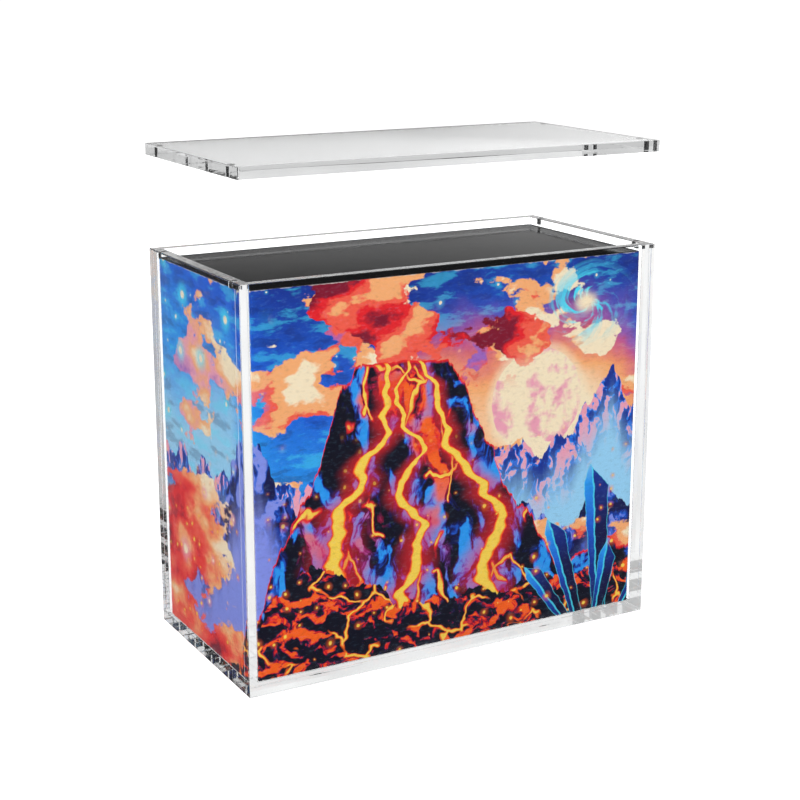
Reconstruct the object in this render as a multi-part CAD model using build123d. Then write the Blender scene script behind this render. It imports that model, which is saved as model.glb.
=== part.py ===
from build123d import *
import os

# A clear case of five bonded sheets, open at the top, with a separate lid slab held by magnets.
# It stands on z = 0 with its footprint centred on the origin: +X along the long side to the right,
# +Y towards the back, +Z up. The lid is shown lifted off, and a boxed carton stands inside.
# All sizes are in millimetres.

# The carton that the case is cut to fit
carton_length = 189.0
carton_depth = 87.0
carton_height = 165.0
sleeve_board = 0.8
sleeve_fold_radius = 1.6
box_board = 1.5
box_corner_radius = 1.0
board_slip = 0.2
skirt_gap = 0.8

# Room that the case leaves round the carton
side_room = 0.5
depth_room = 0.5
top_room = 3.5

# The clear sheets
wall_thickness = 5.0
base_thickness = 5.0
lid_thickness = 5.0
edge_bevel = 0.4

# How far the lid is shown above the rim
lid_gap = 40.5

# The magnets: one in the middle of the wall's thickness near each end of both side sheets
magnet_diameter = 3.0
magnet_edge_round = 0.2
case_magnet_height = 3.0
lid_magnet_cover = 0.95
magnet_inset = 11.0
magnet_bore_slip = 0.05
magnet_recess = 0.05

# Sizes that follow
inside_length = carton_length + 2 * side_room
inside_depth = carton_depth + 2 * depth_room
wall_height = carton_height + top_room
case_length = inside_length + 2 * wall_thickness
case_depth = inside_depth + 2 * wall_thickness
rim_z = base_thickness + wall_height
lid_underside_z = rim_z + lid_gap
lid_magnet_height = lid_thickness - lid_magnet_cover - magnet_recess
magnet_x = case_length / 2 - wall_thickness / 2
magnet_y = case_depth / 2 - magnet_inset
magnet_corners = {
    "front_left": (-magnet_x, -magnet_y),
    "front_right": (magnet_x, -magnet_y),
    "back_left": (-magnet_x, magnet_y),
    "back_right": (magnet_x, magnet_y),
}

on_floor = (Align.CENTER, Align.CENTER, Align.MIN)


def sheet(length, depth, height, at):
    """A square-cut sheet whose bottom face is centred on the point at."""
    return Pos(*at) * Box(length, depth, height, align=on_floor)


def edges_on(solid, axis, place):
    """The edges of solid that lie wholly in the plane where axis has the value place."""
    return solid.edges().filter_by_position(axis, place - 0.01, place + 0.01)


def magnet_bore(x, y, mouth_z, depth, upwards):
    """The space of a flat-bottomed bore that opens at mouth_z and runs up or down from there."""
    start_z = mouth_z if upwards else mouth_z - depth
    radius = magnet_diameter / 2 + magnet_bore_slip
    return Pos(x, y, start_z) * Cylinder(radius, depth, align=on_floor)


def magnet(x, y, bottom_z, height):
    """A short round magnet with broken rims."""
    disc = Pos(x, y, bottom_z) * Cylinder(magnet_diameter / 2, height, align=on_floor)
    return fillet(disc.edges().filter_by(GeomType.CIRCLE), magnet_edge_round)


def make_base():
    """The base: its top edges stay square, because the walls are bonded flush with them."""
    base = sheet(case_length, case_depth, base_thickness, (0, 0, 0))
    return chamfer(edges_on(base, Axis.Z, 0) + base.edges().filter_by(Axis.Z), edge_bevel)


def make_long_wall(side):
    """The front (side -1) or back (side 1) wall, across the full width, with its free edges bevelled."""
    y_outer = side * case_depth / 2
    y_inner = side * (case_depth / 2 - wall_thickness)
    wall = sheet(case_length, wall_thickness, wall_height, (0, (y_outer + y_inner) / 2, base_thickness))
    upright = edges_on(wall, Axis.Y, y_outer).filter_by(Axis.Z)
    rim = edges_on(wall, Axis.Z, rim_z)
    return chamfer(upright + rim, edge_bevel)


def make_end_wall(side):
    """The left (side -1) or right (side 1) wall, between the long ones, bored for its two magnets."""
    x_middle = side * (case_length / 2 - wall_thickness / 2)
    wall = sheet(wall_thickness, inside_depth, wall_height, (x_middle, 0, base_thickness))
    rim = edges_on(wall, Axis.Z, rim_z).filter_by(Axis.Y)
    wall = chamfer(rim, edge_bevel)
    for x, y in magnet_corners.values():
        if x * side > 0:
            wall -= magnet_bore(x, y, rim_z, case_magnet_height + magnet_recess, upwards=False)
    return wall


def make_lid():
    """The lid slab, bevelled on every edge, with four blind bores in its underside."""
    lid = sheet(case_length, case_depth, lid_thickness, (0, 0, lid_underside_z))
    lid = chamfer(lid.edges(), edge_bevel)
    for x, y in magnet_corners.values():
        lid -= magnet_bore(x, y, lid_underside_z, lid_magnet_height + magnet_recess, upwards=True)
    return lid


def upright_tube(length, depth, height, board, corner_radius, bottom_z):
    """Four board walls in one ring, round at its four upright corners, inside and out."""
    outer = RectangleRounded(length, depth, corner_radius)
    inner_radius = max(corner_radius - board, 0.1)
    inner = RectangleRounded(length - 2 * board, depth - 2 * board, inner_radius)
    return extrude(Pos(0, 0, bottom_z) * (outer - inner), height)


def make_sleeve():
    """The printed sleeve: a tube of folding board, open at top and bottom."""
    return upright_tube(
        carton_length, carton_depth, carton_height, sleeve_board, sleeve_fold_radius, base_thickness
    )


# The rigid box fills the sleeve: the cover's skirt slides inside the sleeve, the tray inside the skirt
cover_length = carton_length - 2 * (sleeve_board + board_slip)
cover_depth = carton_depth - 2 * (sleeve_board + board_slip)
tray_length = cover_length - 2 * (box_board + board_slip)
tray_depth = cover_depth - 2 * (box_board + board_slip)
carton_top_z = base_thickness + carton_height


def make_cover():
    """The box's cover: a flat top and a skirt that runs down nearly to the tray's underside."""
    skirt_bottom_z = base_thickness + skirt_gap
    skirt_height = carton_top_z - skirt_bottom_z
    skirt = upright_tube(
        cover_length, cover_depth, skirt_height, box_board, box_corner_radius, skirt_bottom_z
    )
    top_outline = RectangleRounded(cover_length, cover_depth, box_corner_radius)
    top = extrude(Pos(0, 0, carton_top_z - box_board) * top_outline, box_board)
    return skirt + top


def make_tray():
    """The box's tray: a flat floor and four walls that reach up to the underside of the cover's top."""
    wall_top_z = carton_top_z - box_board
    walls = upright_tube(
        tray_length, tray_depth, wall_top_z - base_thickness, box_board, box_corner_radius, base_thickness
    )
    floor_outline = RectangleRounded(tray_length, tray_depth, box_corner_radius)
    floor = extrude(Pos(0, 0, base_thickness) * floor_outline, box_board)
    return walls + floor


pieces = {
    "base_panel": make_base(),
    "front_panel": make_long_wall(-1),
    "back_panel": make_long_wall(1),
    "left_panel": make_end_wall(-1),
    "right_panel": make_end_wall(1),
    "lid_panel": make_lid(),
    "carton_sleeve": make_sleeve(),
    "carton_cover": make_cover(),
    "carton_tray": make_tray(),
}
for corner, (x, y) in magnet_corners.items():
    case_magnet_z = rim_z - magnet_recess - case_magnet_height
    pieces["case_magnet_" + corner] = magnet(x, y, case_magnet_z, case_magnet_height)
    lid_magnet_z = lid_underside_z + magnet_recess
    pieces["lid_magnet_" + corner] = magnet(x, y, lid_magnet_z, lid_magnet_height)

os.makedirs("parts", exist_ok=True)
for name, solid in pieces.items():
    export_step(solid, os.path.join("parts", name + ".step"))
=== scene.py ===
"""Clear display case with a lift-off magnetic lid and a printed carton inside, dressed round its frame."""

import math

import bmesh
import bpy
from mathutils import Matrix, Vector


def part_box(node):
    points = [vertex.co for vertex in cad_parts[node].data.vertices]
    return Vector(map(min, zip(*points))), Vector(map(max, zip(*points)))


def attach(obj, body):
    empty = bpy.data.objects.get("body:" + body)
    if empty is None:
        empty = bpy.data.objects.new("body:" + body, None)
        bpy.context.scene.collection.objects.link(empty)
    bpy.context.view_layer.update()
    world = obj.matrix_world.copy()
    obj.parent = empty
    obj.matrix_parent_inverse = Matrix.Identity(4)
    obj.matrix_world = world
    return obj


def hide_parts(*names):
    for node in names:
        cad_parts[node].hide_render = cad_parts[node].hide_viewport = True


bl_info = {
    "name": "Clear Display Case",
    "version": (1, 0, 0),
    "blender": (4, 5, 0),
    "location": "3D View > Sidebar > Display Case",
    "description": "Models and finishes a clear case of bonded sheets, its magnetic lid and a printed carton",
    "category": "Object",
}

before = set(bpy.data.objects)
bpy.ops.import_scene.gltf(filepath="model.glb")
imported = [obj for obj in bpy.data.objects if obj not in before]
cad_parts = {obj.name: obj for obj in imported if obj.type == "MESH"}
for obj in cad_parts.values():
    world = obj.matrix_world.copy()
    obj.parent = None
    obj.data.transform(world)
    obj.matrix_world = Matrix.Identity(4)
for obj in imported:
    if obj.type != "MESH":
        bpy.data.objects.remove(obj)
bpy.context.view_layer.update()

WALL_NODES = ("front_panel", "back_panel", "left_panel", "right_panel")
CORNERS = ("front_left", "front_right", "back_left", "back_right")
BORE_SIDES = 40

# Two places this close, in metres, count as one
NEAR = 1e-5

# The floor lies just under the case, and AMBIENT is the world's even light, where 1 is white
FLOOR_DROP = -0.0004
AMBIENT = 0.40

# How often a path may turn along a sheet before it leaves by an edge, and how often be mirrored
EDGE_BOUNCES = 48
MIRROR_BOUNCES = 40


# Sizes and colours that a user would change


def swatch(label, code):
    """A colour setting with its default given as an sRGB code such as #ffc08c."""
    parts = [int(code[place:place + 2], 16) / 255 for place in (1, 3, 5)]
    light = [part / 12.92 if part <= 0.04045 else ((part + 0.055) / 1.055) ** 2.4 for part in parts]
    return bpy.props.FloatVectorProperty(
        name=label, description=label + " of the print", subtype="COLOR", size=3, min=0, max=1, default=light,
    )


class CaseSettings(bpy.types.PropertyGroup):
    """The clear sheets and the magnets in them"""

    edge_bevel: bpy.props.FloatProperty(
        name="Edge Bevel", description="Width of the polished bevel on the sheets' edges",
        default=0.0004, min=0.0001, max=0.001, unit="LENGTH",
    )
    lid_bevel: bpy.props.FloatProperty(
        name="Lid Bevel", description="Width of the finer bevel on the lid's edges",
        default=0.00012, min=0.00005, max=0.0004, unit="LENGTH",
    )
    joint_width: bpy.props.FloatProperty(
        name="Joint Width", description="Width of the hairline where two sheets are bonded",
        default=0.0002, min=0.00005, max=0.0005, unit="LENGTH",
    )
    bore_slip: bpy.props.FloatProperty(
        name="Bore Slip", description="Air between a magnet and the wall of its bore",
        default=0.00005, min=0.00002, max=0.0002, unit="LENGTH",
    )
    clear_ior: bpy.props.FloatProperty(
        name="Refraction", description="Index of refraction of the clear sheet",
        default=1.49, min=1.3, max=1.6,
    )
    rest_gap: bpy.props.FloatProperty(
        name="Rest Gap", description="Air left under what rests on the case: the carton and the closed lid",
        default=0.00004, min=0.00001, max=0.0001, unit="LENGTH",
    )
    clear_tint: bpy.props.FloatVectorProperty(
        name="Sheet Tint", description="What the clear sheet does to white light", subtype="COLOR",
        default=(0.985, 0.993, 0.996), size=3, min=0, max=1,
    )


class CartonSettings(bpy.types.PropertyGroup):
    """The sleeve and the rigid box inside it"""

    sleeve_board: bpy.props.FloatProperty(
        name="Sleeve Board", description="Thickness of the sleeve's folding board",
        default=0.0008, unit="LENGTH",
    )
    fold_radius: bpy.props.FloatProperty(
        name="Fold Radius", description="Outer radius of the sleeve's folds", default=0.0016, unit="LENGTH",
    )
    box_board: bpy.props.FloatProperty(
        name="Box Board", description="Thickness of the rigid box's board", default=0.0015, unit="LENGTH",
    )
    wrap_radius: bpy.props.FloatProperty(
        name="Wrap Radius", description="Radius of the paper wrap round the box's edges", default=0.0007,
        unit="LENGTH",
    )


class PrintSettings(bpy.types.PropertyGroup):
    """The colours of the print"""

    ink: swatch("Ink", "#0a0b22")
    night: swatch("Night Blue", "#0d1350")
    deep_blue: swatch("Deep Blue", "#0c3198")
    bright_blue: swatch("Bright Blue", "#0c60dc")
    sky: swatch("Sky Blue", "#1d9bf6")
    pale_sky: swatch("Pale Sky", "#9ad6fa")
    periwinkle: swatch("Periwinkle", "#8493ec")
    mauve: swatch("Mauve", "#a066c2")
    rose: swatch("Rose", "#f5a4ba")
    cream: swatch("Cream", "#ffecc8")
    peach: swatch("Peach", "#ffb274")
    coral: swatch("Coral", "#fb5c46")
    red: swatch("Red", "#ee1622")
    crimson: swatch("Crimson", "#86082c")
    orange: swatch("Orange", "#ff640a")
    yellow: swatch("Yellow", "#ffd84e")
    cyan: swatch("Cyan", "#48e4ff")


class StageSettings(bpy.types.PropertyGroup):
    """Camera and lamps"""

    azimuth: bpy.props.FloatProperty(
        name="Azimuth", description="Camera's turn round the case",
        default=math.radians(-29.0), subtype="ANGLE",
    )
    elevation: bpy.props.FloatProperty(
        name="Elevation", description="Camera's height angle", default=math.radians(14.9), subtype="ANGLE",
    )
    distance: bpy.props.FloatProperty(
        name="Distance", description="Camera to the point it looks at", default=0.7526, unit="LENGTH",
    )
    target: bpy.props.FloatVectorProperty(
        name="Target", description="The point that the camera looks at", subtype="XYZ",
        default=(0.0004, 0.0045, 0.1023), size=3, unit="LENGTH",
    )
    lens: bpy.props.FloatProperty(name="Lens", description="Focal length in millimetres", default=74.86)
    lamp_level: bpy.props.FloatProperty(
        name="Lamp Level", description="Scales the five lamps together", default=1.0, min=0,
    )


# Helpers for edit mode


def active(piece):
    """Makes piece the only selected and the active object."""
    bpy.ops.object.select_all(action="DESELECT")
    piece.select_set(True)
    bpy.context.view_layer.objects.active = piece


def cube(name, low, high):
    """A box from its lowest to its highest corner, placed in its mesh."""
    bpy.ops.object.select_all(action="DESELECT")
    low, high = Vector(low), Vector(high)
    bpy.ops.mesh.primitive_cube_add(size=1, location=(low + high) / 2, scale=high - low)
    piece = bpy.context.object
    piece.name = piece.data.name = name
    bpy.ops.object.transform_apply(location=True, rotation=True, scale=True)
    return piece


def choose(piece, kind, test):
    """In edit mode, selects only the faces or edges that pass the test."""
    bpy.ops.mesh.select_mode(type=kind)
    bpy.ops.mesh.select_all(action="DESELECT")
    mesh = bmesh.from_edit_mesh(piece.data)
    for item in mesh.faces if kind == "FACE" else mesh.edges:
        if test(item):
            item.select_set(True)
    mesh.select_flush_mode()
    bmesh.update_edit_mesh(piece.data)


def upright(edge):
    """Whether an edge stands along Z."""
    low, high = (corner.co for corner in edge.verts)
    return (high - low).to_2d().length < NEAR


def round_edges(piece, test, width, segments):
    """In edit mode, rounds the edges that pass the test."""
    choose(piece, "EDGE", test)
    bpy.ops.mesh.bevel(offset=width, segments=segments, affect="EDGES")


def hollow(piece, side, wall, depth):
    """In edit mode, sinks a hollow into the top (side 1) or the underside (side -1), inside a wall."""
    choose(piece, "FACE", lambda face: face.normal.z * side > 0.9)
    bpy.ops.mesh.inset(thickness=wall)
    bpy.ops.mesh.extrude_region_move(TRANSFORM_OT_translate={"value": (0, 0, -side * depth)})
    bpy.ops.mesh.select_all(action="SELECT")
    bpy.ops.mesh.normals_make_consistent(inside=False)


def apply_modifier(piece, kind, **values):
    """Adds a modifier to piece with the given values and applies it."""
    active(piece)
    modifier = piece.modifiers.new(kind.lower(), kind)
    for key, value in values.items():
        setattr(modifier, key, value)
    bpy.ops.object.modifier_apply(modifier=modifier.name)


# Shader nodes


class Nodes:
    """Builds the nodes of one shader tree; its methods give back output sockets"""

    def __init__(self, tree):
        self.tree = tree

    def put(self, socket, value):
        """Links value to socket if it is an output, paints it if it names a print colour, or sets it."""
        if isinstance(value, bpy.types.NodeSocket):
            self.tree.links.new(value, socket)
        elif isinstance(value, str):
            socket.default_value = (*getattr(bpy.context.scene.display_print, value), 1)
        elif hasattr(value, "__len__") and len(value) == 3 and len(socket.default_value) == 4:
            socket.default_value = (*value, 1)
        else:
            socket.default_value = value

    def node(self, kind, **values):
        """A node with its properties set, and its inputs from values whose names start with in_."""
        made = self.tree.nodes.new(kind)
        for key, value in values.items():
            if key.startswith("in_"):
                name = key[3:]
                socket = int(name) if name.isdigit() else name.replace("_", " ")
                self.put(made.inputs[socket], value)
            else:
                setattr(made, key, value)
        return made

    def group(self, name, **values):
        """A node group placed in this tree, with its inputs from values."""
        made = self.tree.nodes.new("ShaderNodeGroup")
        made.node_tree = bpy.data.node_groups[name]
        for key, value in values.items():
            self.put(made.inputs[key.replace("_", " ")], value)
        return made.outputs

    def math(self, operation, *values, clamp=False):
        """The result of one sum on numbers."""
        made = self.node("ShaderNodeMath", operation=operation, use_clamp=clamp)
        for socket, value in zip(made.inputs, values):
            self.put(socket, value)
        return made.outputs[0]

    def add(self, first, second):
        """First plus second."""
        return self.math("ADD", first, second)

    def less(self, first, second):
        """First less second."""
        return self.math("SUBTRACT", first, second)

    def times(self, first, second):
        """First times second."""
        return self.math("MULTIPLY", first, second)

    def scaled(self, value, factor, offset):
        """The value times factor plus offset."""
        return self.math("MULTIPLY_ADD", value, factor, offset)

    def vector(self, operation, *values):
        """The result of one sum on vectors: a vector, or a number for a length or a distance."""
        made = self.node("ShaderNodeVectorMath", operation=operation)
        sockets = (made.inputs[0], made.inputs[3]) if operation == "SCALE" else made.inputs
        for socket, value in zip(sockets, values):
            self.put(socket, value)
        return made.outputs[1] if operation in ("LENGTH", "DISTANCE") else made.outputs[0]

    def split(self, vector):
        """The three numbers of a vector."""
        return self.node("ShaderNodeSeparateXYZ", in_0=vector).outputs

    def join(self, x=0.0, y=0.0, z=0.0):
        """A vector of three numbers."""
        return self.node("ShaderNodeCombineXYZ", in_0=x, in_1=y, in_2=z).outputs[0]

    def step(self, value, low, high):
        """Rises smoothly from 0 to 1 as value goes from low to high, or falls where low is the higher."""
        made = self.node(
            "ShaderNodeMapRange", interpolation_type="SMOOTHSTEP", in_Value=value,
            in_From_Min=low, in_From_Max=high,
        )
        return made.outputs[0]

    def mix(self, factor, under, over):
        """The colour over laid on the colour under."""
        return self.node("ShaderNodeMix", data_type="RGBA", in_0=factor, in_6=under, in_7=over).outputs[2]

    def place(self):
        """Where on the piece a point lies, in metres."""
        return self.node("ShaderNodeTexCoord").outputs["Object"]

    def bump(self, strength, distance, height):
        """The normal of a surface raised by height."""
        made = self.node("ShaderNodeBump", in_Strength=strength, in_Distance=distance, in_Height=height)
        return made.outputs[0]

    def noise(self, vector, scale, detail, roughness=0.5, flat=True):
        """Cloudy noise: its value, then its colour."""
        made = self.node(
            "ShaderNodeTexNoise", noise_dimensions="2D" if flat else "3D",
            in_Vector=vector, in_Scale=scale, in_Detail=detail, in_Roughness=roughness,
        )
        return made.outputs

    def cells(self, vector, scale, feature="F1", flat=True):
        """Cells round scattered points: the distance and the colour of each."""
        made = self.node(
            "ShaderNodeTexVoronoi", voronoi_dimensions="2D" if flat else "3D", feature=feature,
            in_Vector=vector, in_Scale=scale,
        )
        return made.outputs

    def ramp(self, value, *stops):
        """A colour ramp; each stop is a place and the name of a print colour."""
        made = self.node("ShaderNodeValToRGB", in_Fac=value)
        elements = made.color_ramp.elements
        while len(elements) < len(stops):
            elements.new(1.0)
        for element, (place, _) in zip(elements, stops):
            element.position = place
        for element, (_, name) in zip(elements, stops):
            element.color = (*getattr(bpy.context.scene.display_print, name), 1)
        return made.outputs[0]


def new_group(name, outputs, **inputs):
    """A node group that works out values at a place: the builder of its nodes, its inputs and its outputs."""
    tree = bpy.data.node_groups.new(name, "ShaderNodeTree")
    for label, default in {"Vector": (0, 0, 0), **inputs}.items():
        kind = "NodeSocketVector" if isinstance(default, tuple) else "NodeSocketFloat"
        socket = tree.interface.new_socket(label.replace("_", " "), in_out="INPUT", socket_type=kind)
        socket.default_value = default
    for label in outputs:
        tree.interface.new_socket(label, in_out="OUTPUT", socket_type="NodeSocketFloat")
    return Nodes(tree), tree.nodes.new("NodeGroupInput").outputs, tree.nodes.new("NodeGroupOutput").inputs


def new_material(name):
    """An empty node material and the builder of its nodes."""
    material = bpy.data.materials.new(name)
    material.use_nodes = True
    material.node_tree.nodes.clear()
    return material, Nodes(material.node_tree)


def finish(n, shader):
    """Joins a shader to its tree's material output."""
    n.node("ShaderNodeOutputMaterial", in_Surface=shader)


def principled(n, colour, roughness, **values):
    """A material's main shader."""
    made = n.node("ShaderNodeBsdfPrincipled", in_Base_Color=colour, in_Roughness=roughness, **values)
    return made.outputs[0]


def dress(piece, *materials):
    """Gives piece these materials in order, in place of what it has."""
    piece.data.materials.clear()
    for material in materials:
        piece.data.materials.append(material)


# Groups that paint the print


def build_cloud_bank():
    """Crisp-edged painted clouds: where they lie and how brightly the sun catches them."""
    n, given, out = new_group(
        "Cloud Bank", ("Mask", "Light"),
        Scale=3.0, Seed=0.0, Cover=0.5, Edge=0.02, Sun_Way=(0.2, 0.1, 0),
    )
    offset = n.join(n.times(given["Seed"], 3.7), n.times(given["Seed"], 5.1))
    place = n.vector("ADD", n.vector("MULTIPLY", given["Vector"], (0.62, 1.0, 1.0)), offset)
    place = n.vector("SCALE", place, given["Scale"])
    here = n.noise(place, 1.0, 8.0, 0.56)[0]
    sunward = n.noise(n.vector("ADD", place, given["Sun Way"]), 1.0, 5.0)[0]
    n.put(out["Mask"], n.step(here, given["Cover"], n.add(given["Cover"], given["Edge"])))
    n.put(out["Light"], n.math("MULTIPLY_ADD", n.less(here, sunward), 2.6, 0.5, clamp=True))


def build_ridge_line():
    """A jagged skyline with one tall peak, which a cap can cut off: what lies below it, and how deep."""
    n, given, out = new_group(
        "Ridge Line", ("Below", "Depth"),
        Base=0.3, Rise=0.1, Scale=3.0, Seed=0.0, Peak=0.0, Peak_Height=0.0, Peak_Width=0.3, Cap=2.0,
    )
    u, v, _ = n.split(given["Vector"])
    wave = n.noise(n.join(n.times(u, given["Scale"]), n.times(given["Seed"], 5.3)), 1.0, 6.0, 0.55)[0]
    fold = n.math("ABSOLUTE", n.scaled(wave, 2.0, -1.0))
    crag = n.scaled(fold, -2.0, 1.0)
    away = n.math("DIVIDE", n.math("ABSOLUTE", n.less(u, given["Peak"])), given["Peak Width"])
    peak = n.math("POWER", n.math("SUBTRACT", 1.0, away, clamp=True), 1.5)
    tower = n.times(n.times(peak, given["Peak Height"]), n.scaled(crag, 0.22, 0.9))
    height = n.add(n.scaled(crag, given["Rise"], given["Base"]), tower)
    height = n.math("MINIMUM", height, n.scaled(wave, 0.08, given["Cap"]))
    depth = n.less(height, v)
    n.put(out["Depth"], depth)
    n.put(out["Below"], n.step(depth, 0.0, 0.003))


def build_rock_light():
    """Broken rock faces: how brightly each is lit from one side, and the creases between them."""
    n, given, out = new_group(
        "Rock Light", ("Light", "Crease"), Scale=8.0, Seed=0.0, Sun_Way=(0.1, 0.1, 0),
    )
    offset = n.join(n.times(given["Seed"], 2.7), n.times(given["Seed"], 4.1))
    place = n.vector("ADD", n.vector("MULTIPLY", given["Vector"], (1.0, 0.55, 1.0)), offset)
    place = n.vector("SCALE", place, given["Scale"])
    bend = n.vector("SUBTRACT", n.noise(place, 1.6, 2.0)[1], (0.5, 0.5, 0.5))
    place = n.vector("ADD", place, n.vector("SCALE", bend, 0.6))
    heights = []
    for spot in (place, n.vector("ADD", place, given["Sun Way"])):
        cone = n.cells(spot, 1.0)["Distance"]
        grit = n.noise(spot, 2.6, 4.0, 0.55)[0]
        heights.append(n.scaled(grit, 0.8, n.times(cone, -0.75)))
    n.put(out["Light"], n.math("MULTIPLY_ADD", n.less(*heights), 3.2, 0.5, clamp=True))
    n.put(out["Crease"], n.step(n.cells(place, 1.0, "DISTANCE_TO_EDGE")["Distance"], 0.09, 0.0))


def build_lava_stream():
    """One stream that runs down a slope, widening as it goes: its bright core and the glow beside it."""
    n, given, out = new_group(
        "Lava Stream", ("Core", "Glow"),
        Start=0.0, Top=0.8, Drift=0.3, Wander=0.1, Width=0.02, Seed=0.0,
    )
    u, v, _ = n.split(given["Vector"])
    along = n.less(given["Top"], v)
    sway = n.noise(n.join(n.times(v, 4.0), given["Seed"]), 1.0, 3.0)[0]
    straight = n.scaled(along, given["Drift"], given["Start"])
    middle = n.add(straight, n.times(n.less(sway, 0.5), given["Wander"]))
    swell = n.noise(n.join(n.times(v, 14.0), n.add(given["Seed"], 3.0)), 1.0, 2.0)[0]
    half = n.times(given["Width"], n.scaled(along, 1.6, 0.3))
    gap = n.math("ABSOLUTE", n.less(u, middle))
    narrow = n.math("DIVIDE", gap, n.math("MAXIMUM", n.times(half, n.scaled(swell, 1.8, 0.1)), 0.001))
    wide = n.math("DIVIDE", gap, n.math("MAXIMUM", half, 0.001))
    begun = n.step(along, 0.0, 0.02)
    n.put(out["Core"], n.times(begun, n.step(narrow, 1.0, 0.3)))
    n.put(out["Glow"], n.times(begun, n.step(wide, 4.0, 0.5)))


def build_spark_field():
    """Scattered points of light, each with a soft halo."""
    n, given, out = new_group(
        "Spark Field", ("Spark", "Halo"), Scale=20.0, Seed=0.0, Share=0.3, Size=0.1,
    )
    offset = n.join(given["Seed"], n.times(given["Seed"], 1.7))
    field = n.cells(n.vector("ADD", given["Vector"], offset), given["Scale"])
    chance, size, _ = n.split(field["Color"])
    lit = n.math("LESS_THAN", chance, given["Share"])
    reach = n.times(given["Size"], n.scaled(size, 0.9, 0.3))
    off = n.math("DIVIDE", field["Distance"], reach)
    n.put(out["Spark"], n.times(lit, n.step(off, 1.0, 0.5)))
    n.put(out["Halo"], n.times(lit, n.step(off, 3.0, 0.4)))


def build_crystal():
    """One tall crystal with a slanted tip: its outline, its dark side, its bright lines and the way up it."""
    n, given, out = new_group(
        "Crystal", ("Mask", "Side", "Line", "Along"),
        Foot=(0, 0, 0), Lean=0.0, Width=0.03, Height=0.3,
    )
    turned = n.node(
        "ShaderNodeVectorRotate", rotation_type="Z_AXIS", in_Angle=given["Lean"],
        in_Vector=n.vector("SUBTRACT", given["Vector"], given["Foot"]),
    )
    x, y, _ = n.split(turned.outputs[0])
    along = n.math("DIVIDE", y, given["Height"])
    half = n.times(given["Width"], n.scaled(along, 0.45, 0.55))
    left = n.math("MINIMUM", half, n.times(n.less(1.0, along), n.times(given["Height"], 0.45)))
    right = n.math("MINIMUM", half, n.times(n.less(0.86, along), n.times(given["Height"], 0.8)))
    inside = n.math("MINIMUM", n.add(x, left), n.less(right, x))
    spine = n.scaled(half, 0.25, x)
    n.put(out["Mask"], n.step(inside, 0.0, 0.002))
    n.put(out["Side"], n.step(spine, -0.001, 0.001))
    n.put(out["Line"], n.step(n.math("MINIMUM", n.math("ABSOLUTE", spine), inside), 0.0035, 0.0015))
    n.put(out["Along"], along)


def build_swirl():
    """A whirl of light round a centre: its streaks and its core."""
    n, given, out = new_group("Swirl", ("Streak", "Core"), Centre=(0, 0, 0), Radius=0.1, Seed=0.0)
    way = n.vector("MULTIPLY", n.vector("SUBTRACT", given["Vector"], given["Centre"]), (1.0, 1.25, 1.0))
    off = n.math("DIVIDE", n.vector("LENGTH", way), given["Radius"])
    x, y, _ = n.split(way)
    wind = n.scaled(off, 4.2, n.math("ARCTAN2", y, x))
    ring = n.join(n.math("COSINE", wind), n.math("SINE", wind))
    place = n.vector("ADD", n.vector("SCALE", ring, 1.1), n.join(n.times(off, 3.0), given["Seed"]))
    streak = n.noise(place, 1.6, 5.0, 0.55)[0]
    n.put(out["Streak"], n.times(n.step(streak, 0.5, 0.66), n.step(off, 1.0, 0.25)))
    n.put(out["Core"], n.step(off, 0.3, 0.05))


# Groups that several finishes share


def build_handling_marks():
    """What handling leaves on a surface: hairline scratches, dust specks and faint smudges."""
    n, given, out = new_group("Handling Marks", ("Scratch", "Dust", "Smudge"), Scale=1.0, Seed=0.0)
    place = n.vector("ADD", given["Vector"], n.join(given["Seed"]))
    place = n.vector("SCALE", place, given["Scale"])
    smudge = n.noise(place, 22.0, 4.0, 0.6, flat=False)[0]
    hairs = None
    for slant in (0.4, 1.3, 2.4):
        turned = n.node("ShaderNodeVectorRotate", rotation_type="EULER_XYZ", in_Vector=place)
        turned.inputs["Rotation"].default_value = (slant, slant * 0.7, slant)
        stretched = n.vector("MULTIPLY", turned.outputs[0], (9.0, 420.0, 420.0))
        hair = n.step(n.noise(stretched, 1.0, 1.0, flat=False)[0], 0.735, 0.77)
        hairs = hair if hairs is None else n.math("MAXIMUM", hairs, hair)
    specks = n.cells(place, 330.0, flat=False)
    chance, _, _ = n.split(specks["Color"])
    dust = n.times(n.step(specks["Distance"], 0.22, 0.1), n.math("GREATER_THAN", chance, 0.93))
    n.put(out["Scratch"], n.times(hairs, n.step(smudge, 0.4, 0.6)))
    n.put(out["Dust"], dust)
    n.put(out["Smudge"], n.step(smudge, 0.45, 0.75))


def inward(n, given):
    """How far a place lies inside the nearer face of a box, along each of the three axes."""
    above_low = n.vector("SUBTRACT", given["Vector"], given["Low"])
    below_high = n.vector("SUBTRACT", given["High"], given["Vector"])
    return n.split(n.vector("MINIMUM", above_low, below_high))


def build_edge_wear():
    """Wear along the twelve edges of a box given by its corners, broken up by noise."""
    n, given, out = new_group("Edge Wear", ("Wear",), Low=(0, 0, 0), High=(1, 1, 1), Width=0.001)
    x, y, z = inward(n, given)
    nearest = n.math("MINIMUM", x, n.math("MINIMUM", y, z))
    farthest = n.math("MAXIMUM", x, n.math("MAXIMUM", y, z))
    second = n.less(n.less(n.add(n.add(x, y), z), nearest), farthest)
    breakup = n.noise(given["Vector"], 260.0, 4.0, 0.65, flat=False)[0]
    reach = n.times(given["Width"], n.step(breakup, 0.40, 0.72))
    n.put(out["Wear"], n.step(second, reach, n.times(reach, 0.35)))


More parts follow.
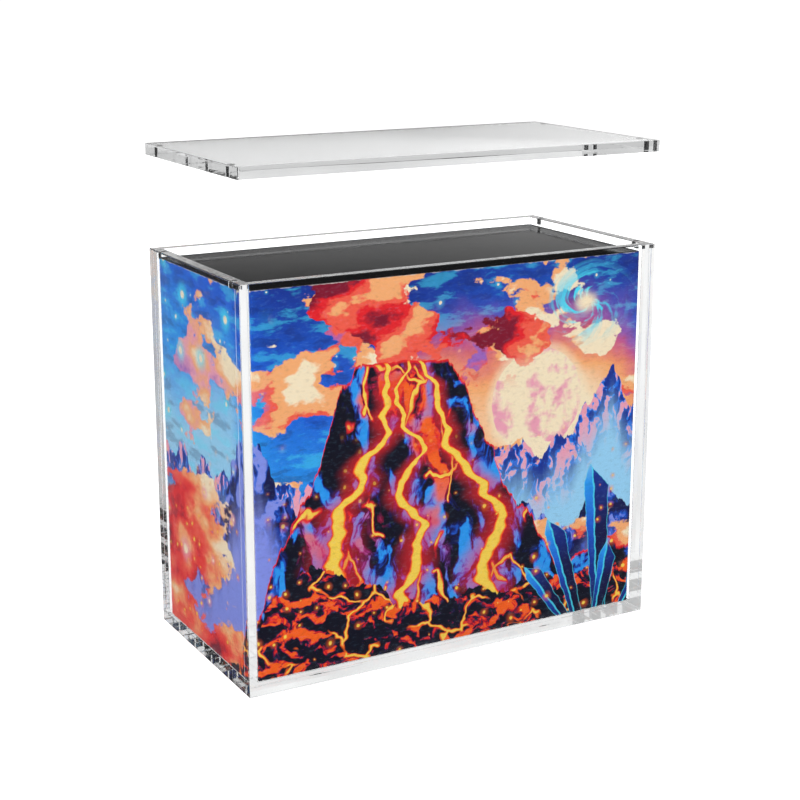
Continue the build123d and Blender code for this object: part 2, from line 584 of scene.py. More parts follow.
def build_polish_waves():
    """Long shallow waves left by polishing, which run along each edge of a box of bonded sheets."""
    n, given, out = new_group(
        "Polish Waves", ("Height", "Zone"), Low=(0, 0, 0), High=(1, 1, 1), Band=0.005,
    )
    near = [n.math("LESS_THAN", distance, given["Band"]) for distance in inward(n, given)]
    place = n.vector("MULTIPLY", given["Vector"], n.join(*(n.scaled(side, 520.0, 7.0) for side in near)))
    n.put(out["Height"], n.noise(place, 1.0, 2.0, 0.5, flat=False)[0])
    n.put(out["Zone"], n.math("GREATER_THAN", n.add(n.add(*near[:2]), near[2]), 1.5))


def build_wrap_grain():
    """Fine fibres and crossed threads of a paper wrap, as a height and a change of tone."""
    n, given, out = new_group("Wrap Grain", ("Height", "Tone"), Scale=1.0)
    place = n.vector("SCALE", given["Vector"], given["Scale"])
    fibre = n.noise(n.vector("MULTIPLY", place, (1.0, 3.5, 3.5)), 900.0, 3.0, 0.6, flat=False)[0]
    cross = n.noise(n.vector("MULTIPLY", place, (3.5, 1.0, 1.0)), 900.0, 3.0, 0.6, flat=False)[0]
    n.put(out["Height"], n.math("MAXIMUM", fibre, cross))
    n.put(out["Tone"], n.noise(place, 60.0, 4.0, 0.6, flat=False)[0])


GROUP_BUILDERS = (
    build_cloud_bank, build_ridge_line, build_rock_light, build_lava_stream, build_spark_field, build_crystal,
    build_swirl, build_handling_marks, build_edge_wear, build_polish_waves, build_wrap_grain,
)


# The picture on the sleeve


class Picture:
    """A painting in progress: its nodes, the place on the board and the colour so far"""

    sun = (0.25, 0.63, 0.0)

    def __init__(self, nodes, board):
        self.n = n = nodes
        stroke = n.vector("SUBTRACT", n.noise(board, 26.0, 3.0)[1], (0.5, 0.5, 0.5))
        self.place = n.vector("ADD", board, n.vector("SCALE", stroke, 0.010))
        self.u, self.v, _ = n.split(self.place)
        self.patch = n.noise(self.place, 5.0, 3.0)[0]
        self.drift = n.less(n.noise(self.place, 1.7, 5.0, 0.55)[0], 0.5)
        self.side = n.step(self.u, -0.50, -0.66)
        self.colour = None

    def part(self, name, **values):
        """A node group that works on the picture's own place."""
        return self.n.group(name, Vector=self.place, **values)

    def lay(self, mask, colour):
        """Lays a colour over the picture where the mask is."""
        self.colour = self.n.mix(mask, self.colour, colour)

    def paint_sky(self):
        """Brushed blue from pale at the foot to deep at the top, with a few stars."""
        n = self.n
        level = n.scaled(self.side, -0.34, n.scaled(self.drift, 0.45, self.v))
        self.colour = n.ramp(
            level, (0.30, "pale_sky"), (0.48, "sky"), (0.66, "bright_blue"), (0.98, "deep_blue"),
        )
        brush = n.noise(n.vector("MULTIPLY", self.place, (1.0, 3.2, 1.0)), 7.0, 5.0, 0.6)[0]
        self.lay(n.times(n.step(brush, 0.52, 0.62), 0.35), "cyan")
        self.lay(n.times(n.step(brush, 0.46, 0.36), 0.35), "night")
        star = self.part("Spark Field", Scale=17.0, Seed=7.0, Share=0.3, Size=0.10)
        high = n.step(self.v, 0.70, 0.85)
        self.lay(n.times(star["Halo"], n.times(high, 0.35)), "cyan")
        self.lay(n.times(star["Spark"], high), "cream")

    def paint_sun(self):
        """A large pale sun in a warm glow."""
        n = self.n
        squeezed = n.vector("MULTIPLY", self.place, (0.8, 1.0, 0.0))
        off = n.vector("DISTANCE", squeezed, (self.sun[0] * 0.8, self.sun[1] - 0.05, 0.0))
        off = n.scaled(self.drift, -0.45, off)
        glow = n.ramp(off, (0.1, "cream"), (0.22, "peach"), (0.32, "coral"), (0.44, "mauve"))
        self.lay(n.step(off, 0.46, 0.22), glow)
        self.disc = n.vector("DISTANCE", self.place, self.sun)
        face = n.mix(n.step(n.noise(self.place, 9.0, 5.0, 0.6)[0], 0.45, 0.6), "cream", "rose")
        self.lay(n.times(n.step(self.disc, 0.17, 0.14), 0.6), "cream")
        self.lay(n.step(self.disc, 0.142, 0.139), face)

    def paint_high_clouds(self):
        """Warm banks in the upper sky that leave the sun clear, softer on the side."""
        n = self.n
        clear = n.times(n.step(self.disc, 0.24, 0.12), n.step(self.v, 0.50, 0.60))
        cover = n.scaled(self.side, 0.09, n.scaled(clear, 0.16, 0.505))
        sun_way = (0.22, 0.1, 0.0)
        bank = self.part("Cloud Bank", Scale=3.6, Seed=1.3, Cover=cover, Edge=0.012, Sun_Way=sun_way)
        warm = n.ramp(
            bank["Light"], (0.22, "mauve"), (0.34, "coral"), (0.42, "coral"), (0.47, "peach"),
            (0.62, "peach"), (0.70, "cream"),
        )
        soft = n.ramp(bank["Light"], (0.2, "mauve"), (0.42, "rose"), (0.6, "peach"), (0.8, "cream"))
        self.lay(bank["Mask"], n.mix(self.side, warm, soft))

    def paint_smoke(self):
        """The red plume that drifts up from the mountain's mouth."""
        n = self.n
        plume = n.math("ABSOLUTE", n.add(self.u, n.scaled(self.v, 0.75, -0.42)))
        cover = n.scaled(plume, 0.75, 0.36)
        sun_way = (0.24, -0.12, 0.0)
        bank = self.part("Cloud Bank", Scale=4.4, Seed=4.1, Cover=cover, Edge=0.014, Sun_Way=sun_way)
        smoke = n.ramp(
            bank["Light"], (0.26, "crimson"), (0.38, "red"), (0.46, "red"), (0.53, "coral"), (0.66, "coral"),
            (0.74, "peach"),
        )
        self.lay(n.times(bank["Mask"], n.step(self.v, 0.66, 0.78)), smoke)

    def paint_swirl(self):
        """A small whirl of light in the upper right corner."""
        swirl = self.part("Swirl", Centre=(0.40, 0.88, 0.0), Radius=0.17, Seed=2.0)
        self.lay(swirl["Streak"], "cyan")
        self.lay(swirl["Core"], "cream")

    def paint_range(self, line, rock, stops, depths, haze):
        """A range of peaks whose lit rock fades into haze between two depths below its skyline."""
        n = self.n
        ridge = self.part("Ridge Line", **line)
        tone = n.ramp(self.part("Rock Light", **rock)["Light"], *stops)
        self.lay(ridge["Below"], n.mix(n.step(ridge["Depth"], *depths), tone, haze))

    def paint_far_ridges(self):
        """A tall range to the right of the mountain, and a nearer, darker one to its left."""
        self.paint_range(
            {"Base": 0.38, "Rise": 0.15, "Scale": 3.2, "Seed": 1.0, "Peak": 0.5, "Peak_Height": 0.16},
            {"Scale": 13.0, "Seed": 1.0, "Sun_Way": (-0.12, 0.08, 0.0)},
            ((0.30, "deep_blue"), (0.44, "bright_blue"), (0.5, "bright_blue"), (0.6, "sky"), (0.72, "rose")),
            (0.02, 0.22), "pale_sky",
        )
        self.paint_range(
            {
                "Base": 0.23, "Rise": 0.13, "Scale": 4.3, "Seed": 6.0, "Peak": -0.58, "Peak_Height": 0.28,
                "Peak_Width": 0.26,
            },
            {"Scale": 10.0, "Seed": 3.0, "Sun_Way": (-0.14, 0.09, 0.0)},
            (
                (0.34, "night"), (0.42, "deep_blue"), (0.55, "deep_blue"), (0.66, "bright_blue"),
                (0.8, "periwinkle"),
            ),
            (0.06, 0.28), "periwinkle",
        )

    def paint_low_clouds(self):
        """Clouds between the ridges, thickest on the side."""
        n = self.n
        cover = n.scaled(self.side, -0.11, n.scaled(self.v, 0.58, 0.42))
        sun_way = (0.2, 0.14, 0.0)
        bank = self.part("Cloud Bank", Scale=3.4, Seed=8.7, Cover=cover, Edge=0.016, Sun_Way=sun_way)
        tone = n.scaled(self.v, 0.35, n.less(bank["Light"], 0.1))
        warm = n.ramp(
            tone, (0.20, "crimson"), (0.32, "red"), (0.42, "coral"), (0.50, "coral"), (0.56, "peach"),
            (0.70, "peach"), (0.78, "cream"),
        )
        across = n.scaled(n.add(self.u, 0.80), 0.7, tone)
        soft = n.ramp(
            across, (0.12, "crimson"), (0.28, "red"), (0.46, "coral"), (0.62, "peach"), (0.85, "cream"),
        )
        self.lay(bank["Mask"], n.mix(self.side, warm, soft))

    def paint_glints(self):
        """Bright stars with wide halos, on the side only: blue above and pink below."""
        n = self.n
        glint = self.part("Spark Field", Scale=7.0, Seed=4.4, Share=0.45, Size=0.10)
        hue = n.mix(n.step(self.v, 0.45, 0.60), "rose", "cyan")
        self.lay(n.times(n.times(glint["Halo"], 0.75), self.side), hue)
        self.lay(n.times(glint["Spark"], self.side), "cream")

    def paint_mountain(self):
        """The broken mountain, half cold and half glowing, with three streams of lava."""
        n = self.n
        base = n.scaled(self.side, -0.3, 0.12)
        slope = self.part(
            "Ridge Line", Base=base, Rise=0.09, Scale=4.0, Seed=9.0, Peak=-0.16,
            Peak_Height=0.86, Peak_Width=0.52, Cap=0.74,
        )
        rock = self.part("Rock Light", Scale=8.0, Seed=5.0, Sun_Way=(0.15, 0.1, 0.0))
        cold = n.ramp(
            rock["Light"], (0.40, "ink"), (0.47, "night"), (0.56, "night"), (0.62, "deep_blue"),
            (0.74, "bright_blue"), (0.86, "sky"),
        )
        hot = n.ramp(
            rock["Light"], (0.38, "ink"), (0.46, "crimson"), (0.56, "crimson"), (0.66, "red"),
            (0.85, "orange"),
        )
        heat = n.times(n.step(self.patch, 0.50, 0.62), n.step(self.v, 0.1, 0.5))
        tone = n.mix(heat, cold, hot)
        crack = n.times(rock["Crease"], n.step(self.patch, 0.46, 0.56))
        tone = n.mix(n.step(crack, 0.25, 0.75), tone, "red")
        tone = n.mix(n.step(crack, 0.72, 0.95), tone, "yellow")
        tone = n.mix(n.step(slope["Depth"], 0.012, 0.004), tone, "red")
        self.lay(slope["Below"], tone)
        for start, way, seed, width in (
            (-0.19, -0.30, 1.0, 0.026),
            (-0.11, 0.42, 2.0, 0.022),
            (-0.15, 0.06, 5.0, 0.018),
        ):
            lava = self.part(
                "Lava Stream", Start=start, Top=0.79, Drift=way, Wander=0.34, Width=width,
                Seed=seed,
            )
            self.lay(n.times(n.times(lava["Glow"], 0.6), slope["Below"]), "red")
            flow = n.ramp(lava["Core"], (0.1, "red"), (0.4, "orange"), (0.8, "yellow"))
            self.lay(n.times(n.step(lava["Core"], 0.05, 0.2), slope["Below"]), flow)

    def paint_ground(self):
        """Cracked rock along the foot of the picture."""
        n = self.n
        base = n.scaled(self.side, -0.16, 0.09)
        ground = self.part(
            "Ridge Line", Base=base, Rise=0.05, Scale=7.0, Seed=12.0, Peak=-0.42,
            Peak_Height=0.14, Peak_Width=0.4,
        )
        flattened = n.vector("MULTIPLY", self.place, (0.7, 1.6, 1.0))
        rock = n.group("Rock Light", Vector=flattened, Scale=11.0, Seed=8.0, Sun_Way=(0.02, 0.16, 0.0))
        tone = n.ramp(
            rock["Light"], (0.52, "ink"), (0.60, "night"), (0.66, "crimson"), (0.77, "red"), (0.93, "orange"),
        )
        crack = n.times(rock["Crease"], n.step(self.patch, 0.44, 0.54))
        tone = n.mix(n.step(crack, 0.3, 0.7), tone, "orange")
        tone = n.mix(n.step(crack, 0.7, 0.95), tone, "yellow")
        self.lay(ground["Below"], tone)

    def paint_crystals(self):
        """A fan of six blue crystals in the lower right corner."""
        n = self.n
        for foot, lean, width, height in (
            ((0.47, 0.0, 0.0), -0.05, 0.046, 0.47),
            ((0.58, -0.02, 0.0), 0.16, 0.045, 0.36),
            ((0.40, -0.02, 0.0), -0.30, 0.036, 0.36),
            ((0.54, -0.04, 0.0), 0.50, 0.036, 0.30),
            ((0.37, -0.03, 0.0), -0.62, 0.030, 0.27),
            ((0.46, -0.03, 0.0), 0.20, 0.034, 0.25),
        ):
            gem = self.part("Crystal", Foot=foot, Lean=lean, Width=width, Height=height)
            lit = n.ramp(
                gem["Along"], (0.0, "night"), (0.3, "deep_blue"), (0.55, "bright_blue"), (0.8, "sky"),
                (1.0, "pale_sky"),
            )
            dark = n.ramp(
                gem["Along"], (0.0, "ink"), (0.5, "night"), (0.85, "deep_blue"), (1.0, "bright_blue"),
            )
            face = n.mix(gem["Side"], lit, dark)
            self.lay(gem["Mask"], n.mix(n.times(gem["Line"], 0.8), face, "cyan"))

    def paint_embers(self):
        """Embers that float over the lower half."""
        n = self.n
        ember = self.part("Spark Field", Scale=24.0, Seed=3.0, Share=0.3, Size=0.14)
        low = n.step(self.v, 0.7, 0.2)
        self.lay(n.times(n.times(ember["Halo"], low), 0.5), "orange")
        self.lay(n.times(ember["Spark"], low), "yellow")

    def paint_grain(self):
        """Fine dry-brush strokes, lighter and darker, over the whole picture."""
        n = self.n
        hair = n.noise(n.vector("MULTIPLY", self.place, (1.0, 2.2, 1.0)), 55.0, 4.0, 0.65)[0]
        self.lay(n.times(n.step(hair, 0.52, 0.75), 0.07), "pale_sky")
        self.lay(n.times(n.step(hair, 0.50, 0.25), 0.16), "ink")

    def paint(self):
        """Paints every layer from back to front and gives back the colour."""
        self.paint_sky()
        self.paint_sun()
        self.paint_high_clouds()
        self.paint_smoke()
        self.paint_swirl()
        self.paint_far_ridges()
        self.paint_low_clouds()
        self.paint_glints()
        self.paint_mountain()
        self.paint_ground()
        self.paint_crystals()
        self.paint_embers()
        self.paint_grain()
        return self.colour


# Materials


def clear_material(name, settings, low, high, thickness, seed):
    """Clear sheet that lets lamp light and stray light straight through to what it covers."""
    material, n = new_material(name)
    place = n.place()
    marks = n.group("Handling Marks", Vector=place, Scale=1.0, Seed=seed)
    roughness = n.scaled(marks["Scratch"], 0.05, n.times(marks["Dust"], 0.12))
    tint = n.mix(n.times(marks["Dust"], 0.25), settings.clear_tint, (0.6, 0.6, 0.6))
    waves = n.group("Polish Waves", Vector=place, Low=low, High=high, Band=0.98 * thickness)
    height = n.scaled(n.times(waves["Height"], waves["Zone"]), 1.0, n.times(marks["Scratch"], 0.1))
    bump = n.bump(0.4, 0.00003, height)
    sheet = principled(
        n, tint, roughness, in_IOR=settings.clear_ior, in_Transmission_Weight=1.0, in_Normal=bump,
    )
    path = n.node("ShaderNodeLightPath").outputs
    open_way = n.node("ShaderNodeBsdfTransparent", in_Color=(0.97, 0.97, 0.97)).outputs[0]
    passing = n.math("MAXIMUM", path["Is Shadow Ray"], path["Is Diffuse Ray"])
    finish(n, n.node("ShaderNodeMixShader", in_0=passing, in_1=sheet, in_2=open_way).outputs[0])
    return material


def print_material(low, high):
    """The picture under a gloss film, scuffed along the folds."""
    material, n = new_material("printed_sleeve")
    board = n.node("ShaderNodeUVMap", uv_map="wrap").outputs[0]
    place = n.place()
    colour = Picture(n, board).paint()
    wear = n.group("Edge Wear", Vector=place, Low=low, High=high, Width=0.0007)
    colour = n.mix(n.times(wear["Wear"], 0.55), colour, (0.82, 0.80, 0.77))
    marks = n.group("Handling Marks", Vector=place, Scale=0.8, Seed=3.0)
    film = n.noise(place, 420.0, 3.0, 0.55, flat=False)[0]
    roughness = n.scaled(marks["Smudge"], 0.10, n.scaled(film, 0.08, 0.26))
    height = n.scaled(marks["Scratch"], -0.4, film)
    finish(n, principled(n, colour, roughness, in_IOR=1.45, in_Normal=n.bump(0.10, 0.00004, height)))
    return material


def board_material():
    """Raw dark board, seen on the sleeve's cut edges and inside."""
    material, n = new_material("board_core")
    place = n.place()
    grain = n.group("Wrap Grain", Vector=place, Scale=0.6)
    tone = n.mix(n.step(grain["Tone"], 0.35, 0.65), (0.030, 0.029, 0.031), (0.052, 0.050, 0.050))
    bump = n.bump(0.5, 0.00008, grain["Height"])
    finish(n, principled(n, tone, 0.85, in_Normal=bump))
    return material


def wrap_material(low, high):
    """Black satin paper wrapped round the rigid box, rubbed along its edges."""
    material, n = new_material("black_wrap")
    place = n.place()
    grain = n.group("Wrap Grain", Vector=place, Scale=1.0)
    marks = n.group("Handling Marks", Vector=place, Scale=0.7, Seed=9.0)
    wear = n.group("Edge Wear", Vector=place, Low=low, High=high, Width=0.0009)
    tone = n.mix(n.step(grain["Tone"], 0.3, 0.7), (0.008, 0.008, 0.009), (0.011, 0.011, 0.012))
    tone = n.mix(n.times(marks["Dust"], 0.15), tone, (0.20, 0.20, 0.21))
    tone = n.mix(n.times(wear["Wear"], 0.5), tone, (0.11, 0.10, 0.10))
    roughness = n.scaled(marks["Smudge"], 0.04, n.scaled(grain["Tone"], 0.04, 0.07))
    bump = n.bump(0.08, 0.00003, grain["Height"])
    finish(n, principled(n, tone, roughness, in_Specular_IOR_Level=0.28, in_Normal=bump))
    return material


def nickel_material():
    """Nickel plating, faintly clouded and rubbed."""
    material, n = new_material("nickel_plating")
    place = n.place()
    marks = n.group("Handling Marks", Vector=place, Scale=3.0, Seed=5.0)
    cloud = n.noise(place, 900.0, 3.0, 0.6, flat=False)[0]
    tone = n.mix(n.step(cloud, 0.4, 0.62), (0.09, 0.09, 0.095), (0.15, 0.15, 0.15))
    roughness = n.scaled(marks["Scratch"], 0.2, n.scaled(cloud, 0.15, 0.20))
    finish(n, principled(n, tone, roughness, in_Metallic=1.0))
    return material


# Pieces


def bore(sheet, magnet, mouth, slip):
    """Cuts one magnet's bore from the face at the height mouth, with its flat end on the magnet."""
    low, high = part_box(magnet)
    bottom = low.z + slip / 4 if low.z < mouth else high.z - slip / 4
    bpy.ops.object.select_all(action="DESELECT")
    bpy.ops.mesh.primitive_cylinder_add(
        vertices=BORE_SIDES, radius=(high.x - low.x) / 2 + slip, depth=2 * abs(mouth - bottom),
        location=((low.x + high.x) / 2, (low.y + high.y) / 2, mouth),
    )
    cutter = bpy.context.object
    bpy.ops.object.transform_apply(location=True, rotation=True, scale=True)
    apply_modifier(sheet, "BOOLEAN", object=cutter, operation="DIFFERENCE", solver="EXACT")
    bpy.data.objects.remove(cutter)


class CASE_OT_bonded_case(bpy.types.Operator):
    """Models the five bonded sheets as one clear shell, bored for its magnets"""

    bl_idname = "display_case.bonded_case"
    bl_label = "Bonded Case"

    def execute(self, context):
        settings = context.scene.display_case
        low, base_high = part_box("base_panel")
        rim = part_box("right_panel")[1].z - settings.rest_gap
        floor = base_high.z - settings.rest_gap
        high = Vector((base_high.x, base_high.y, rim))
        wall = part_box("left_panel")[1].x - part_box("left_panel")[0].x
        case = cube("bonded_case", low, high)
        bpy.ops.object.mode_set(mode="EDIT")
        hollow(case, 1, wall, rim - floor)
        bent = math.radians(30)
        round_edges(case, lambda edge: edge.calc_face_angle(0) > bent, settings.edge_bevel, 3)
        self.score_joints(case, high, base_high.z, high.y - wall, settings.joint_width)
        bpy.ops.object.mode_set(mode="OBJECT")
        for corner in CORNERS:
            bore(case, "case_magnet_" + corner, rim, settings.bore_slip)
        dress(case, clear_material("clear_sheet_walls", settings, low, high, wall, 0.0))
        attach(case, "case")
        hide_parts("base_panel", *WALL_NODES)
        return {"FINISHED"}

    def score_joints(self, case, high, floor, reach, width):
        """Sinks a hairline into the outer faces where the walls stand on the base and meet each other."""
        for place, way in (
            ((0, 0, floor), (0, 0, 1)),
            ((0, reach, 0), (0, 1, 0)),
            ((0, -reach, 0), (0, 1, 0)),
        ):
            bpy.ops.mesh.select_all(action="SELECT")
            bpy.ops.mesh.bisect(plane_co=place, plane_no=way)

        def on_joint(points):
            """Whether an edge's ends lie on the outer line of a bond."""
            outside = all(abs(co.x) > high.x - NEAR or abs(co.y) > high.y - NEAR for co in points)
            level = all(abs(co.z - floor) < NEAR for co in points)
            standing = all(abs(co.x) > high.x - NEAR and abs(abs(co.y) - reach) < NEAR for co in points)
            return outside and level or standing and all(co.z > floor - NEAR for co in points)

        choose(case, "EDGE", lambda edge: on_joint([corner.co for corner in edge.verts]))
        bpy.ops.mesh.bevel(offset=width / 2, segments=2, profile=0.5, affect="EDGES")
        choose(case, "EDGE", lambda edge: on_joint([corner.co for corner in edge.verts]))
        depth = width / 2
        bpy.ops.transform.resize(value=(1 - depth / high.x, 1 - depth / high.y, 1), center_override=(0, 0, 0))


class CASE_OT_lid(bpy.types.Operator):
    """Models the lid slab with its polished edges and bores it for its magnets"""

    bl_idname = "display_case.lid"
    bl_label = "Lid"

    def execute(self, context):
        settings = context.scene.display_case
        low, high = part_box("lid_panel")
        lid = cube("polished_lid", low, high)
        bpy.ops.object.mode_set(mode="EDIT")
        round_edges(lid, lambda edge: True, settings.lid_bevel, 3)
        bpy.ops.object.mode_set(mode="OBJECT")
        for corner in CORNERS:
            bore(lid, "lid_magnet_" + corner, low.z, settings.bore_slip)
        dress(lid, clear_material("clear_sheet_lid", settings, low, high, high.z - low.z, 2.0))
        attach(lid, "lid")
        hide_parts("lid_panel")
        return {"FINISHED"}


class CASE_OT_magnets(bpy.types.Operator):
    """Finishes the eight small magnets"""

    bl_idname = "display_case.magnets"
    bl_label = "Magnets"

    def execute(self, context):
        nickel = nickel_material()
        for set_name in ("case_magnet_", "lid_magnet_"):
            for corner in CORNERS:
                dress(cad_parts[set_name + corner], nickel)
        return {"FINISHED"}


class CASE_OT_sleeve(bpy.types.Operator):
    """Models the printed sleeve: board folded into a ring, with the picture running round it"""

    bl_idname = "display_case.sleeve"
    bl_label = "Printed Sleeve"

    def execute(self, context):
        settings = context.scene.display_carton
        low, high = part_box("carton_sleeve")
        sleeve = cube("folded_sleeve", low, high)
        bpy.ops.object.mode_set(mode="EDIT")
        choose(sleeve, "FACE", lambda face: abs(face.normal.z) > 0.9)
        bpy.ops.mesh.delete(type="FACE")
        round_edges(sleeve, upright, settings.fold_radius, 6)
        bpy.ops.object.mode_set(mode="OBJECT")
        self.lay_flat(sleeve, low, high, settings.fold_radius)
        dress(sleeve, print_material(low, high), board_material())
        apply_modifier(
            sleeve, "SOLIDIFY", thickness=settings.sleeve_board, offset=-1, material_offset=1,
            material_offset_rim=1,
        )
        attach(sleeve, "carton")
        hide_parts("carton_sleeve")
        return {"FINISHED"}

    def lay_flat(self, sleeve, low, high, radius):
        """Unrolls the sleeve into its UV map, in units of its height, with the join at the back left fold."""
        straight = Vector((high.x - radius, high.y - radius))
        slack = 1e-4
        wrap = sleeve.data.uv_layers.new(name="wrap")
        for face in sleeve.data.polygons:
            join = face.center.x < -straight.x and face.center.y > straight.y
            for corner in face.loop_indices:
                x, y, z = sleeve.data.vertices[sleeve.data.loops[corner].vertex_index].co
                across = min(max(x, -straight.x), straight.x)
                back = min(max(y, -straight.y), straight.y)
                turn = math.atan2(x - across, back - y)
                if abs(turn) > math.pi - slack:
                    turn = -math.pi if join else math.pi
                if turn < -slack:
                    length = across - (back + straight.y) + radius * turn
                elif turn < math.pi - slack:
                    length = across + (back + straight.y) + radius * turn
                else:
                    length = 2 * straight.x - across + 2 * straight.y + radius * turn
                wrap.data[corner].uv = Vector((length, z - low.z)) / (high.z - low.z)


class CASE_OT_box(bpy.types.Operator):
    """Models the rigid box's cover in its paper wrap, and finishes the tray"""

    bl_idname = "display_case.box"
    bl_label = "Rigid Box"

    def execute(self, context):
        settings = context.scene.display_carton
        low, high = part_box("carton_cover")
        cover = cube("wrapped_cover", low, high)
        bpy.ops.object.mode_set(mode="EDIT")
        hollow(cover, -1, settings.box_board, high.z - low.z - settings.box_board)
        round_edges(cover, lambda edge: self.wrapped(edge, high), settings.wrap_radius, 4)
        bpy.ops.object.mode_set(mode="OBJECT")
        wrap = wrap_material(low, high)
        dress(cover, wrap)
        dress(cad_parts["carton_tray"], wrap)
        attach(cover, "carton")
        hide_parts("carton_cover")
        return {"FINISHED"}

    def wrapped(self, edge, high):
        """Whether paper is drawn round an edge: one along the top, or one of the four outer uprights."""
        on_top = all(corner.co.z > high.z - NEAR for corner in edge.verts)
        at_end = all(abs(corner.co.x) > high.x - NEAR for corner in edge.verts)
        return on_top or at_end and upright(edge)


class CASE_OT_stage(bpy.types.Operator):
    """Sets up the floor, the surroundings, the lamps and the camera"""

    bl_idname = "display_case.stage"
    bl_label = "Stage"

    def execute(self, context):
        settings = context.scene.display_stage
        self.add_floor()
        self.add_surroundings(context.scene)
        self.add_lamps(settings.lamp_level)
        self.add_camera(context.scene, settings)
        context.scene.view_settings.view_transform = "Standard"
        cycles = context.scene.cycles
        cycles.max_bounces = cycles.transmission_bounces = EDGE_BOUNCES
        cycles.glossy_bounces = MIRROR_BOUNCES
        cycles.caustics_reflective = False
        cycles.caustics_refractive = False
        return {"FINISHED"}

    def sight(self, n):
        """Masks of what is seen straight, mirrored by an outer face, by an inner face, or along an edge."""
        path = n.node("ShaderNodeLightPath").outputs
        sharp = n.math("LESS_THAN", path["Diffuse Depth"], 0.5)
        seen = n.math("ADD", path["Is Camera Ray"], path["Is Transmission Ray"], clamp=True)
        mirrored = n.times(sharp, n.math("GREATER_THAN", path["Glossy Depth"], 0.5))
        twice = n.times(sharp, n.math("GREATER_THAN", path["Glossy Depth"], 1.5))
        within = n.math("GREATER_THAN", path["Transmission Depth"], 0.5)
        straight = n.math("SUBTRACT", n.times(seen, sharp), mirrored, clamp=True)
        edge = n.times(twice, within)
        inner = n.times(n.less(mirrored, twice), within)
        outer = n.less(n.less(mirrored, inner), edge)
        return straight, outer, inner, edge

    def level(self, n, otherwise, *pairs):
        """A number that is otherwise, but changes to the given level where each mask is 1."""
        value = otherwise
        for mask, level in pairs:
            value = n.node("ShaderNodeMix", data_type="FLOAT", in_0=mask, in_2=value, in_3=level).outputs[0]
        return value

    def across(self, n, value, reach, levels):
        """Goes evenly from the first level to the second as value crosses its reach."""
        made = n.node(
            "ShaderNodeMapRange", in_Value=value, in_From_Min=reach[0], in_From_Max=reach[1],
            in_To_Min=levels[0], in_To_Max=levels[1],
        )
        return made.outputs[0]

    def add_floor(self):
        """A pale floor that edge-on paths through the sheets, and views from below, see past."""
        bpy.ops.object.select_all(action="DESELECT")
        bpy.ops.mesh.primitive_circle_add(
            vertices=64, radius=12, fill_type="NGON", location=(0, 0, FLOOR_DROP),
        )
        floor = bpy.context.object
        floor.name = "pale_floor"
        bpy.ops.object.transform_apply(location=True, rotation=True, scale=True)
        material, n = new_material("pale_floor")
        straight, outer, inner, edge = self.sight(n)
        veil = n.add(outer, inner)
        paper = n.node("ShaderNodeBsdfDiffuse", in_Color=self.level(n, 0.8, (veil, 0.0)))
        glow = n.node("ShaderNodeEmission", in_Color=(1, 1, 1))
        n.put(glow.inputs["Strength"], self.level(n, 0.0, (straight, 0.75), (veil, 0.05)))
        lit = n.node("ShaderNodeAddShader", in_0=paper.outputs[0], in_1=glow.outputs[0])
        gone = n.node("ShaderNodeBsdfTransparent")
        past = n.math("MAXIMUM", edge, n.node("ShaderNodeNewGeometry").outputs["Backfacing"])
        either = n.node("ShaderNodeMixShader", in_0=past, in_1=lit.outputs[0], in_2=gone.outputs[0])
        finish(n, either.outputs[0])
        floor.data.materials.append(material)

    def add_surroundings(self, scene):
        """A white room with a darker side, which mirrored paths see in place of the plain white."""
        world = bpy.data.worlds.new("studio")
        scene.world = world
        world.use_nodes = True
        world.node_tree.nodes.clear()
        n = Nodes(world.node_tree)
        straight, outer, inner, edge = self.sight(n)
        heading = n.node("ShaderNodeTexCoord").outputs["Generated"]
        x, y, z = n.split(heading)

        # The lid's top and its front edge both grow paler to the right, and the carton's top to the back
        sweep = self.across(n, x, (0.50, 0.63), (0.40, 0.85))
        glance = self.across(n, x, (0.35, 0.62), (0.72, 0.95))
        upper = ((n.step(z, 0.13, 0.155), 0.46), (n.step(z, 0.158, 0.186), 0.06))
        above = self.level(n, sweep, *upper)

        # What the carton's top mirrors behind a clear wall stays black
        last = n.node("ShaderNodeLightPath").outputs["Is Reflection Ray"]
        below = self.level(n, glance, (n.step(z, 0.07, 0.09), 0.66), *upper, (last, 0.0))

        # Paths along the sheets leave with one heading but for its signs, which part the edges into tones
        behind, right, high = n.step(y, -0.1, 0.1), n.step(x, -0.05, 0.05), n.step(z, -0.05, 0.05)
        comb = n.times(n.times(high, behind), n.less(1.0, right))
        flag = n.times(n.times(high, n.less(1.0, behind)), right)
        lid = n.step(z, -0.16, -0.12)
        room = self.level(n, 0.62, (behind, 1.0), (lid, glance), (high, 0.92), (comb, 0.60), (flag, 0.02))
        shade = n.noise(heading, 14.0, 3.0, flat=False)[0]
        strength = self.level(
            n, AMBIENT, (straight, 1.0), (outer, above), (inner, below),
            (edge, n.times(room, n.scaled(shade, 0.6, 0.66))),
        )
        sky = n.node("ShaderNodeBackground", in_Color=(1, 1, 1), in_Strength=strength)
        n.node("ShaderNodeOutputWorld", in_Surface=sky.outputs[0])

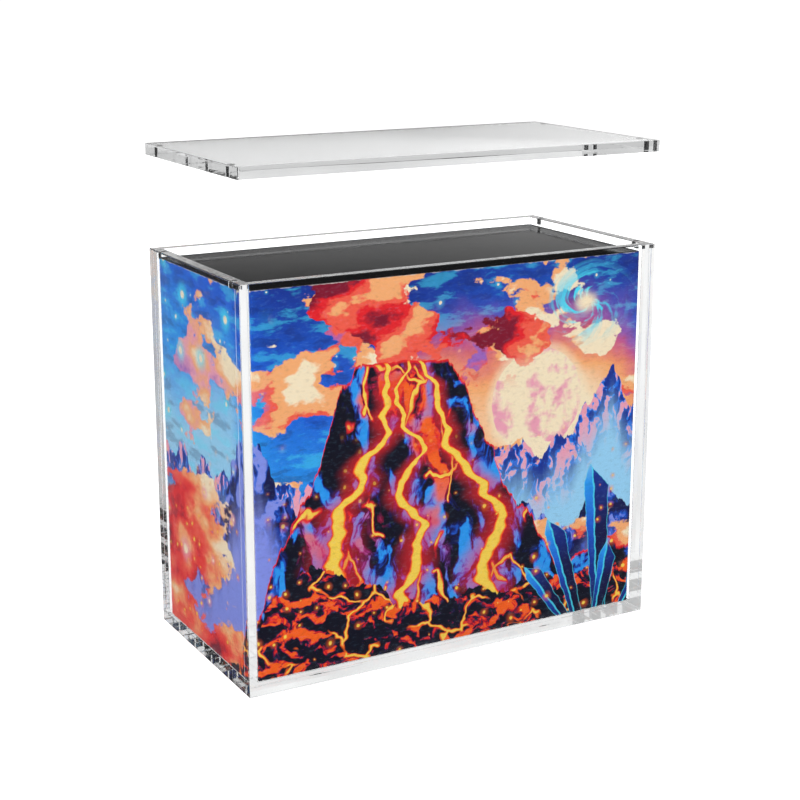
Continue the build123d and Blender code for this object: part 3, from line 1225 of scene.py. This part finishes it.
    def add_lamps(self, level):
        """Four soft lamps at the corners, the front left one strongest, and one overhead."""
        for name, place, size, power in (
            ("key_lamp", (-1.4, -1.2, 0.8), 1.2, 20),
            ("fill_lamp", (1.3, -1.3, 0.7), 1.2, 11),
            ("back_left_lamp", (-1.3, 1.3, 0.7), 1.2, 15),
            ("back_right_lamp", (1.3, 1.3, 0.7), 1.2, 15),
            ("top_lamp", (0, 0.2, 1.8), 1.6, 5),
        ):
            bpy.ops.object.light_add(type="AREA", location=place)
            lamp = bpy.context.object
            lamp.name = name
            lamp.data.size = size
            lamp.data.energy = power * level
            aim = Vector((0, 0, 0.1)) - Vector(place)
            lamp.rotation_euler = aim.to_track_quat("-Z", "Y").to_euler()
            lamp.visible_camera = lamp.visible_glossy = lamp.visible_transmission = False

    def add_camera(self, scene, settings):
        """The camera of the photo, turned and raised round the point it looks at."""
        turn, rise = settings.azimuth, settings.elevation
        back = Vector((math.sin(turn) * math.cos(rise), -math.cos(turn) * math.cos(rise), math.sin(rise)))
        bpy.ops.object.camera_add(location=Vector(settings.target) + back * settings.distance)
        camera = bpy.context.object
        camera.name = "photo_camera"
        camera.rotation_euler = (-back).to_track_quat("-Z", "Y").to_euler()
        camera.data.lens = settings.lens
        camera.data.sensor_width = 36
        scene.camera = camera


class CASE_PT_sidebar(bpy.types.Panel):
    """Lists the steps that make the display case"""

    bl_idname = "CASE_PT_sidebar"
    bl_label = "Display Case"
    bl_space_type = "VIEW_3D"
    bl_region_type = "UI"
    bl_category = "Display Case"

    def draw(self, context):
        for step in STEPS:
            self.layout.operator(step.bl_idname)


STEPS = (
    CASE_OT_bonded_case, CASE_OT_lid, CASE_OT_magnets, CASE_OT_sleeve, CASE_OT_box, CASE_OT_stage,
)
SETTINGS = {
    "display_case": CaseSettings,
    "display_carton": CartonSettings,
    "display_print": PrintSettings,
    "display_stage": StageSettings,
}


def register():
    """Adds the settings, the operators and the panel to Blender."""
    for cls in (*SETTINGS.values(), *STEPS, CASE_PT_sidebar):
        bpy.utils.register_class(cls)
    for name, cls in SETTINGS.items():
        setattr(bpy.types.Scene, name, bpy.props.PointerProperty(type=cls))


def unregister():
    """Takes them out again."""
    for name in SETTINGS:
        delattr(bpy.types.Scene, name)
    for cls in reversed((*SETTINGS.values(), *STEPS, CASE_PT_sidebar)):
        bpy.utils.unregister_class(cls)


def main():
    """Builds the case on its frame."""
    register()
    for build in GROUP_BUILDERS:
        build()
    bpy.ops.display_case.bonded_case()
    bpy.ops.display_case.lid()
    bpy.ops.display_case.magnets()
    bpy.ops.display_case.sleeve()
    bpy.ops.display_case.box()
    bpy.ops.display_case.stage()


if __name__ == "__main__":
    main()
